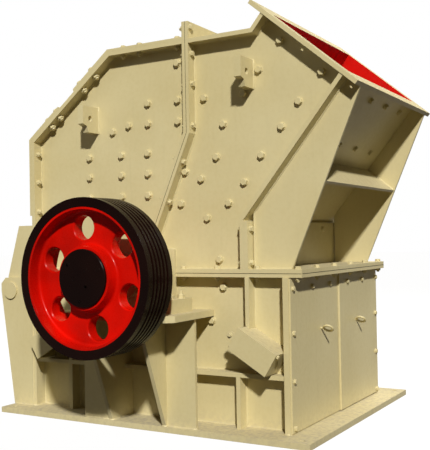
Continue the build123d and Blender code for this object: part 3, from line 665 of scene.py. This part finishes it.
split_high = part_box("split_flange_feed")[1]
seam_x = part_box("split_flange_rear")[1].x
split_plate = split_high.x - seam_x
split_grip = 2 * split_plate
split_points = [(split_high.x, z) for z in (2.617, 2.406, 2.113)]
split_places = on_both_sides(split_points, ledge_y, along_x)
top_row_z = split_high.z - 42 * MM
split_places += [(Vector((split_high.x, y, top_row_z)), along_x) for y in across_row]
through_bolts("split_bolts_upright", "M24", split_places, split_grip, "frame", "rear_housing")

# %% The slanting run of the split flange
seam_kink = Vector((seam_x, 0.0, 2.062))
seam_turn = radians(23.5)
seam_down = Vector((-sin(seam_turn), 0.0, -cos(seam_turn)))
seam_out = Vector((cos(seam_turn), 0.0, -sin(seam_turn)))
slant_face = seam_kink + seam_out * split_plate
slant_points = [slant_face + seam_down * distance for distance in (0.206, 0.510, 0.790)]
slant_places = on_both_sides([(p.x, p.z) for p in slant_points], ledge_y, seam_out)
through_bolts("split_bolts_slant", "M24", slant_places, split_grip, "frame", "rear_housing")

# %% The level joint above the lower frame
joint_grip = joint_high.z - lower_low.z
end_row_x = end_x + 40 * MM
feed_joint = [(Vector((end_row_x, y, joint_high.z)), along_z) for y in across_row]
feed_joint += on_both_sides([(x, joint_high.z) for x in (0.848, 0.538, 0.262)], ledge_y, along_z)
through_bolts("joint_bolts_feed", "M24", feed_joint, joint_grip)
rear_joint_points = [(x, joint_high.z) for x in (-0.330, -0.640, -0.950)]
rear_joint = on_both_sides(rear_joint_points, ledge_y, along_z)
through_bolts("joint_bolts_rear", "M24", rear_joint, joint_grip, "rear_housing", "frame")

# %% [markdown]
# ## Bolts of the covers and doors
# The rear wall, the incline and the roof carry bolted covers. The doors of the feed end are held
# by a row along their head and down their outer edges.


# %% Cover bolts
wall_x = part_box("rear_wall")[0].x
cover_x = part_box("rear_cover_lower")[0].x
wall_plate = 30 * MM
cover_plate = 20 * MM
cover_grip = wall_x - cover_x + wall_plate
wall_points = [(cover_x, z) for z in (2.006, 1.785, 1.554)]
wall_places = on_both_sides(wall_points, ledge_y, -along_x)
through_bolts("wall_cover_bolts", "M24", wall_places, cover_grip, "rear_housing")

roof_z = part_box("rear_cover_upper")[1].z
roof_points = [(x, roof_z) for x in (-0.233, -0.086, 0.243)]
roof_places = on_both_sides(roof_points, ledge_y, along_z)
through_bolts("roof_cover_bolts", "M24", roof_places, cover_grip, "rear_housing")

slope_up = slope_normal("rear_incline", 1)
slope_along = Vector((slope_up.z, 0.0, -slope_up.x))
knee = Vector((wall_x, 0.0, 2.115))
slope_places = []
for distance in (0.209, 0.314, 0.621, 0.766):
    point = knee + slope_along * distance + slope_up * cover_plate
    slope_places += on_both_sides([(point.x, point.z)], ledge_y, slope_up)
through_bolts("incline_cover_bolts", "M30", slope_places, cover_grip, "rear_housing")

# %% Door bolts
far_door_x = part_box("feed_door_far")[1].x
drive_edge_y = -0.785
far_edge_y = 0.767
door_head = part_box("feed_door_drive")[1].z - 66 * MM
door_points = [(y, door_head) for y in across_row]
door_points += [(y, z) for y in (drive_edge_y, far_edge_y) for z in (0.690, 0.379, 0.076)]
door_places = [(Vector((far_door_x if y > 0 else end_x, y, z)), along_x) for y, z in door_points]
bolts("door_bolts", "M20", door_places)

# %% Bolts of the feed wall's cover and under the feed incline
feed_wall_low, feed_wall_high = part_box("feed_wall")
wall_cover_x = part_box("feed_wall_cover")[1].x
wall_cover_grip = wall_cover_x - feed_wall_low.x
head_row_z = 1.378
wall_cover_points = [(wall_cover_x, z) for z in (head_row_z, 1.151)]
wall_cover_places = on_both_sides(wall_cover_points, ledge_y, along_x)
for y in (-0.470, -0.157, 0.157, 0.470):
    wall_cover_places.append((Vector((wall_cover_x, y, head_row_z)), along_x))
through_bolts("wall_plate_bolts", "M24", wall_cover_places, wall_cover_grip)

chute_out = -slope_normal("feed_incline", 1)
chute_up = Vector((-chute_out.z, 0.0, chute_out.x))
chute_foot = Vector((feed_wall_high.x, 0.0, feed_wall_high.z))
chute_places = [
    (chute_foot + chute_up * distance + Vector((0.0, y, 0.0)), chute_out)
    for distance in (0.680, 1.057)
    for y in (-0.485, -0.160, 0.160, 0.485)
]
bolts("chute_bolts", "M24", chute_places)

# %% [markdown]
# ## Bolts of the bearings and the hub
# Each bearing stands on two feet with two bolts in each, and both its round covers are held by six
# screws. A grease nipple sits on the crown. The cap over the pulley's hub is held by flush screws,
# so that no belt or sleeve can catch on them.


# %% Bearing and hub fittings
bearing_low, bearing_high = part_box("bearing_drive")
bearing_y = -(bearing_low.y + bearing_high.y) / 2
seat_low, seat_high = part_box("bearing_seats")
foot_z = seat_high.z + 90 * MM
foot_bolt_x = 0.355
foot_bolt_y = 0.065
foot_places = []
for x in (shaft_x - foot_bolt_x, shaft_x + foot_bolt_x):
    for y in (bearing_y - foot_bolt_y, bearing_y + foot_bolt_y):
        foot_places += [(Vector((x, side * y, foot_z)), along_z) for side in (-1, 1)]
under_places = [(Vector((p.x, p.y, seat_low.z)), -along_z) for p, _ in foot_places]
tall_nut = {"Head height": 26 * MM, "Stud radius": 15 * MM, "Stud height": 24 * MM}
bolts("bearing_foot_nuts", "M30", foot_places, **tall_nut)
bolts("bearing_foot_heads", "M30", under_places)


def around_shaft(radius, degrees, y):
    """A point at a distance and a turn round the shaft's axis."""
    turn = radians(degrees)
    return Vector((shaft_x + radius * cos(turn), y, shaft_z + radius * sin(turn)))


cover_circle = 0.140
cover_places = []
for side in (-1, 1):
    for face_y, look in ((-bearing_low.y, side), (-bearing_high.y, -side)):
        for k in range(6):
            point = around_shaft(cover_circle, 30 + 60 * k, side * face_y)
            cover_places.append((point, along_y * look))
bolts("bearing_cover_screws", "M16", cover_places)

nipple = head_sizes(9, 12, 10, 3)
nipple.update({"Stud radius": 4 * MM, "Stud height": 12 * MM})
nipple_places = on_both_sides([(shaft_x, bearing_high.z)], bearing_y, along_z)
bolts("grease_nipples", "M16", nipple_places, **nipple)

cap_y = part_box("hub_cap")[0].y
flush = {"Head height": 1.0 * MM, "Washer height": 0.5 * MM}
cap_places = []
for radius, start in ((0.063, 61), (0.147, 23)):
    for k in range(3):
        cap_places.append((around_shaft(radius, start + 120 * k, cap_y), -along_y))
bolts("hub_cap_screws", "M16", cap_places, "rotor", black, "black_paint", **flush)

# %% [markdown]
# ## Ears of the cover boxes
# The slanting boxes on the side plates are screwed on by an ear at their upper end and by small
# bolts at their corners. An ear is a plate with a round end, drawn in the box's own directions:
# along its length and square to it. The boxes near the feed end and near the hinge lean opposite
# ways, so the end that a box is at, 1 or -1, turns those directions over.


# %% Ears and their bolts
box_low, box_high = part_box("cover_boxes")
box_tilt = radians(-31)
box_along = Vector((cos(box_tilt), 0.0, sin(box_tilt)))
box_up = Vector((-sin(box_tilt), 0.0, cos(box_tilt)))
box_half_length = 0.159
box_half_height = 0.084
box_half_span = box_along.x * box_half_length + box_up.x * box_half_height
box_middle_z = (box_low.z + box_high.z) / 2
box_middle_x = {1: box_high.x - box_half_span, -1: box_low.x + box_half_span}
ear_radius = 0.026
ear_reach = 0.030
ear_up = 0.010
ear_sides = 8


def box_direction(end, along, up):
    """A direction given along a box and square to it."""
    turned = box_along * along + box_up * up
    return Vector((turned.x * end, 0.0, turned.z))


def on_box(end, along, up, y):
    """A point given from a box's middle, along it and square to it."""
    return Vector((box_middle_x[end], y, box_middle_z)) + box_direction(end, along, up)


def ear_plates(label, near_y, far_y):
    """Plates with a round end that stand out from the upper end of each box."""
    outline = [(-box_half_length, ear_up - ear_radius), (-box_half_length, ear_up + ear_radius)]
    for k in range(ear_sides + 1):
        turn = radians(90 + 180 * k / ear_sides)
        reach = -box_half_length - ear_reach + ear_radius * cos(turn)
        outline.append((reach, ear_up + ear_radius * sin(turn)))
    shape = bmesh.new()
    for end in (-1, 1):
        for side in (-1, 1):
            corners = [on_box(end, a, u, side * near_y) for a, u in outline]
            face = shape.faces.new([shape.verts.new(corner) for corner in corners])
            pushed = bmesh.ops.extrude_face_region(shape, geom=[face])["geom"]
            moved = [v for v in pushed if isinstance(v, bmesh.types.BMVert)]
            bmesh.ops.translate(shape, verts=moved, vec=(0.0, side * (far_y - near_y), 0.0))
    bmesh.ops.recalc_face_normals(shape, faces=shape.faces)
    mesh = bpy.data.meshes.new(label)
    shape.to_mesh(mesh)
    shape.free()
    mesh.materials.append(cream)
    piece = bpy.data.objects.new(label, mesh)
    scene.collection.objects.link(piece)
    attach(piece, "frame")


box_front_y = box_high.y
ear_front_y = box_front_y - 2 * MM
ear_thickness = 10 * MM
ear_plates("cover_box_ears", ear_front_y - ear_thickness, ear_front_y)
corner_up = 0.066
corner_y = box_front_y - 30 * MM
ear_screws = []
corner_bolts = []
for end in (-1, 1):
    for side in (-1, 1):
        ear_place = on_box(end, -box_half_length - ear_reach, ear_up, side * ear_front_y)
        ear_screws.append((ear_place, along_y * side))
        for along, up in ((-1, corner_up), (-1, -corner_up), (1, corner_up)):
            place = on_box(end, along * box_half_length, up, side * corner_y)
            corner_bolts.append((place, box_direction(end, along, 0.0)))
bolts("cover_box_bolts", "M16", corner_bolts)
bolts("cover_box_screws", "M16", ear_screws)

# %% [markdown]
# ## Weld beads, by Geometry Nodes
# Thick plates are joined by fillet welds that fill the corner between them. A plate is welded all
# round where it stands on another one, so the rim of the face that touches is the weld's line, and
# it can be read from the loaded piece. The tree turns such lines into beads: it cuts them into
# short steps, draws a small ring along them and lets noise raise the ripples of a welder's hand.
# The lines along the seam of the two halves are left out, because the faces there must meet.


# %% The weld tree
def weld_tree():
    """A rippled bead along every line of a mesh."""
    inputs = (
        ("Lines", "Geometry", None),
        ("Leg", "Float", 8 * MM),
        ("Step", "Float", 26 * MM),
        ("Ripple", "Float", 3 * MM),
        ("Paint", "Material", None),
    )
    tree, given = open_tree("weld_beads", inputs, "Beads")
    start = Wire(tree)
    lines = start.node("GeometryNodeMeshToCurve", {}, {"Mesh": given["Lines"]})
    pace = {"Curve": lines, "Length": given["Step"]}
    steps = start.node("GeometryNodeResampleCurve", {"mode": "LENGTH"}, pace)
    ring = start.node("GeometryNodeCurvePrimitiveCircle", {}, {"Resolution": 6, "Radius": given["Leg"]})
    sweep = {"Curve": steps, "Profile Curve": ring, "Fill Caps": True}
    bead = start.node("GeometryNodeCurveToMesh", {}, sweep)
    grain = start.node("ShaderNodeTexNoise", {}, {"Scale": 55.0, "Detail": 1.0}) - 0.5
    outward = start.node("GeometryNodeInputNormal")
    amount = grain * given["Ripple"]
    push = start.node("ShaderNodeVectorMath", {"operation": "SCALE"}, {0: outward, "Scale": amount})
    rippled = start.node("GeometryNodeSetPosition", {}, {"Geometry": bead, "Offset": push})
    close_tree(tree, rippled, given["Paint"])
    return tree


beads = weld_tree()
print("weld tree:", len(beads.nodes), "nodes")


# %% Lines to weld along
seam_top = Vector((seam_x, machine_box[1][2]))
seam_bend = Vector((seam_x, seam_kink.z))
seam_end = seam_bend + Vector((seam_down.x, seam_down.z))
clear_of_shaft = 0.160


def off_line(point, start, end):
    """How far a point of the XZ plane lies from a line between two points."""
    run = end - start
    share = max(0.0, min(1.0, (point - start).dot(run) / run.dot(run)))
    return (point - start - run * share).length


def at_seam(point):
    """Tell whether a point lies on the seam of the two halves."""
    flat = Vector((point.x, point.z))
    return min(off_line(flat, seam_top, seam_bend), off_line(flat, seam_bend, seam_end)) < 10 * MM


def rim(label, face_point, face_normal):
    """The edges round those faces of a piece that lie in one plane, as pairs of points."""
    shape = bmesh.new()
    shape.from_mesh(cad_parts[label].data)
    bmesh.ops.remove_doubles(shape, verts=shape.verts, dist=0.05 * MM)
    there = set()
    for face in shape.faces:
        if abs(face.normal.dot(face_normal)) > 0.999:
            if abs((face.calc_center_median() - face_point).dot(face_normal)) < 0.6 * MM:
                there.add(face)
    pairs = []
    for edge in shape.edges:
        if sum(face in there for face in edge.link_faces) == 1:
            ends = [vertex.co.copy() for vertex in edge.verts]
            middle = (ends[0] + ends[1]) / 2
            from_shaft = Vector((middle.x - shaft_x, middle.z - shaft_z)).length
            if from_shaft > clear_of_shaft and not (at_seam(ends[0]) and at_seam(ends[1])):
                pairs.append(ends)
    shape.free()
    return pairs


def side_rims(labels, y):
    """The rims of pieces in the two upright planes at a distance from the middle."""
    pairs = []
    for label in labels:
        for side in (-1, 1):
            pairs += rim(label, along_y * side * y, along_y)
    return pairs


def weld(label, pairs, body="frame", leg=8 * MM):
    """Weld beads along pairs of points that join up where they share a point."""
    index = {}
    points = []
    edges = []
    for ends in pairs:
        numbers = []
        for point in ends:
            key = tuple(round(v, 4) for v in point)
            if key not in index:
                index[key] = len(points)
                points.append(tuple(point))
            numbers.append(index[key])
        edges.append(numbers)
    mesh = bpy.data.meshes.new(label + "_lines")
    mesh.from_pydata(points, edges, [])
    source = bpy.data.objects.new(label + "_lines", mesh)
    run_tree(label, source, beads, {"Leg": leg, "Paint": cream}, body)


# %% Welds of the two housings
rear_sides = ("rear_side_drive", "rear_side_far", "lifting_eyes_rear", "split_flange_rear")
rear_lines = side_rims(rear_sides, side_y)
rear_lines += rim("hinge_arms", along_x * wall_x, along_x)
weld("welds_rear", rear_lines, "rear_housing")

feed_sides = ("feed_side_drive", "feed_side_far", "lifting_eyes_feed", "split_flange_feed")
weld("welds_feed", side_rims(feed_sides, side_y))

# %% [markdown]
# The cheeks end in a free edge towards the feed end, which has no weld. The longest edge nearest
# the feed end is that one, and long edges that run the same way are left out with it.


# %% Welds of the cheeks
def forward_length(pair):
    """The length of an edge, counted for more the further it lies towards the feed end."""
    return (pair[0] - pair[1]).length * (pair[0].x + pair[1].x)


cheek_lines = side_rims(("cheeks",), side_y) + side_rims(("cheek_shelf",), chamber_half)
front_edge = max(cheek_lines, key=forward_length)
front_run = (front_edge[1] - front_edge[0]).normalized()
long_edge = 0.5


def runs_as_front(pair):
    """Tell the long edges that run the same way as the cheeks' free edge."""
    run = pair[0] - pair[1]
    return run.length >= long_edge and abs(run.normalized().dot(front_run)) >= 0.98


cheek_lines = [pair for pair in cheek_lines if not runs_as_front(pair)]
weld("welds_cheeks", cheek_lines, leg=9 * MM)

# %% Welds of the lower frame
lower_sides = ("lower_side_drive", "lower_side_far", "side_rails", "side_posts", "seal_boxes")
lower_lines = side_rims(lower_sides, side_y)
on_base = ("bearing_gussets", "bearing_front_plates", "hinge_lugs", "feed_end_frame", "rear_end_plate")
for label in on_base:
    lower_lines += rim(label, along_z * base_high.z, along_z)
lower_lines += rim("bearing_gussets", along_z * seat_low.z, along_z)
lower_lines += rim("hinge_lugs", along_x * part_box("rear_end_plate")[0].x, along_x)
weld("welds_lower", lower_lines)

# %% [markdown]
# ## Painted shade in the joints
# Where two flanges meet, the narrow gap between them lies in shade and shows as a thin dark line. A
# thin dark cord along the seam paints that shade. It sits on the frame's flange, so it stays there when
# the rear housing is opened. The weld tree draws it too, with a small leg and hardly any ripple.

# %% Cords of painted shade in the seams
seam_shade_leg = 1.4 * MM
seam_shade_ripple = 0.2 * MM
seam_z = (joint_low.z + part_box("lower_flange_feed")[1].z) / 2


def seam_shade_cord(label, points, closed=False):
    """A thin dark cord through points, which paints the shade of a seam."""
    mesh = bpy.data.meshes.new(label + "_line")
    last = len(points) if closed else len(points) - 1
    steps = [(k, (k + 1) % len(points)) for k in range(last)]
    mesh.from_pydata([tuple(p) for p in points], steps, [])
    source = bpy.data.objects.new(label + "_line", mesh)
    values = {"Leg": seam_shade_leg, "Ripple": seam_shade_ripple, "Paint": black}
    run_tree(label, source, beads, values, "frame")


# Dark cords along the level seam and the split seam paint the shade of the gaps between the flanges.
rear_edge_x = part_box("lower_flange_rear")[0].x
feed_edge_x = joint_high.x
level_z = seam_z - seam_shade_leg
drive_edge = [Vector((x, -flange_y, level_z)) for x in (rear_edge_x, feed_edge_x)]
far_edge = [Vector((x, flange_y, level_z)) for x in (feed_edge_x, rear_edge_x)]
seam_shade_cord("seam_shade_level", drive_edge + far_edge, closed=True)

slant_length = 0.860
slant_end = seam_kink + seam_down * slant_length
seam_run = [Vector((seam_x, 0.0, split_high.z)), seam_kink, slant_end]
for side, place in ((-1, "drive"), (1, "far")):
    off_seam = Vector((seam_shade_leg, side * flange_y, 0.0))
    seam_shade_cord(f"packing_split_{place}", [point + off_seam for point in seam_run])

# %% [markdown]
# ## The floor and the light
# The ground is a studio floor that is dark to the machine, so that it throws little light up at
# it. Seen by the camera it is lifted towards white, so that the machine stands on a clean page and
# still drops its shadow. The sky works in the same way. One far lamp stands where the sun would,
# high before the drive side and towards the feed end, so that flanges and ledges shade what lies
# under them. Two broad soft lamps keep the other sides from going black.


# %% Floor
def seen_share(start):
    """1 for the rays that the camera sees, straight, mirrored or let through, and 0 for the rest."""
    seen = start.node("ShaderNodeLightPath", output="Is Camera Ray")
    for kind in ("Glossy", "Transmission"):
        seen = seen + start.node("ShaderNodeLightPath", output=f"Is {kind} Ray")
    return seen.maths("MINIMUM", seen, 1.0)


def white_page(start, mirrored_tone):
    """White, but for a dimmer tone where it is seen mirrored in the paint."""
    mirrored = start.node("ShaderNodeLightPath", output="Is Glossy Ray")
    return mirrored.mix(colour(1.0, 1.0, 1.0), mirrored_tone)


floor_half = 60.0
floor_z = base_low.z - 0.5 * MM
corners = [(x * floor_half, y * floor_half, floor_z) for x, y in ((-1, -1), (1, -1), (1, 1), (-1, 1))]
floor_mesh = bpy.data.meshes.new("floor")
floor_mesh.from_pydata(corners, [], [(0, 1, 2, 3)])
floor = bpy.data.objects.new("floor", floor_mesh)
scene.collection.objects.link(floor)

floor_look = bpy.data.materials.new("floor")
floor_look.use_nodes = True
floor_tree = floor_look.node_tree
floor_start = Wire(floor_tree)
floor_tree.nodes.remove(floor_tree.nodes["Principled BSDF"])
floor_share = seen_share(floor_start)
floor_tone = floor_share.mix(colour(0.085, 0.074, 0.05), colour(0.80, 0.80, 0.80))
matt = floor_start.node("ShaderNodeBsdfDiffuse", {}, {"Color": floor_tone})
glow_colour = white_page(floor_start, colour(0.15, 0.15, 0.15))
glow = floor_start.node("ShaderNodeEmission", {}, {"Color": glow_colour, "Strength": 1.06})
page = floor_start.node("ShaderNodeMixShader", {}, {0: floor_share * 0.85, 1: matt, 2: glow})
floor_tree.links.new(page.socket, floor_tree.nodes["Material Output"].inputs["Surface"])
floor.data.materials.append(floor_look)

# %% World
world = bpy.data.worlds.new("studio")
scene.world = world
world.use_nodes = True
sky = Wire(world.node_tree)
sky_page = white_page(sky, colour(0.15, 0.15, 0.16))
sky_tone = seen_share(sky).mix(colour(0.048, 0.041, 0.027), sky_page)
background = world.node_tree.nodes["Background"]
world.node_tree.links.new(sky_tone.socket, background.inputs["Color"])
background.inputs["Strength"].default_value = 1.0

# %% Lamps
lamp_target = Vector((0.0, 0.0, 1.3))
key_distance = 12.0
soft_distance = 9.0


def looking_from(azimuth, elevation):
    """The direction to a lamp. Azimuth 0 is the drive side, 90 the feed end."""
    turn = radians(azimuth)
    lift = radians(elevation)
    return Vector((sin(turn) * cos(lift), -cos(turn) * cos(lift), sin(lift)))


def add_lamp(label, data, away, distance):
    """Stand a lamp at a distance from the machine, looking at it."""
    made = bpy.data.objects.new(label, data)
    made.location = lamp_target + away * distance
    made.rotation_euler = away.to_track_quat("Z", "Y").to_euler()
    scene.collection.objects.link(made)
    return made


key = bpy.data.lights.new("key_lamp", "SUN")
key.energy = 3.85
key.angle = radians(3)
key.color = (1.0, 0.975, 0.935)
add_lamp("key_lamp", key, looking_from(35.0, 35.6), key_distance)
for label, azimuth, elevation, watts in (("side_lamp", -55, 25, 90), ("back_lamp", 170, 45, 850)):
    soft = bpy.data.lights.new(label, "AREA")
    soft.size = 5.0
    soft.energy = watts
    soft.color = (1.0, 0.97, 0.90)
    add_lamp(label, soft, looking_from(azimuth, elevation), soft_distance).visible_glossy = False
scene.view_settings.view_transform = "Standard"
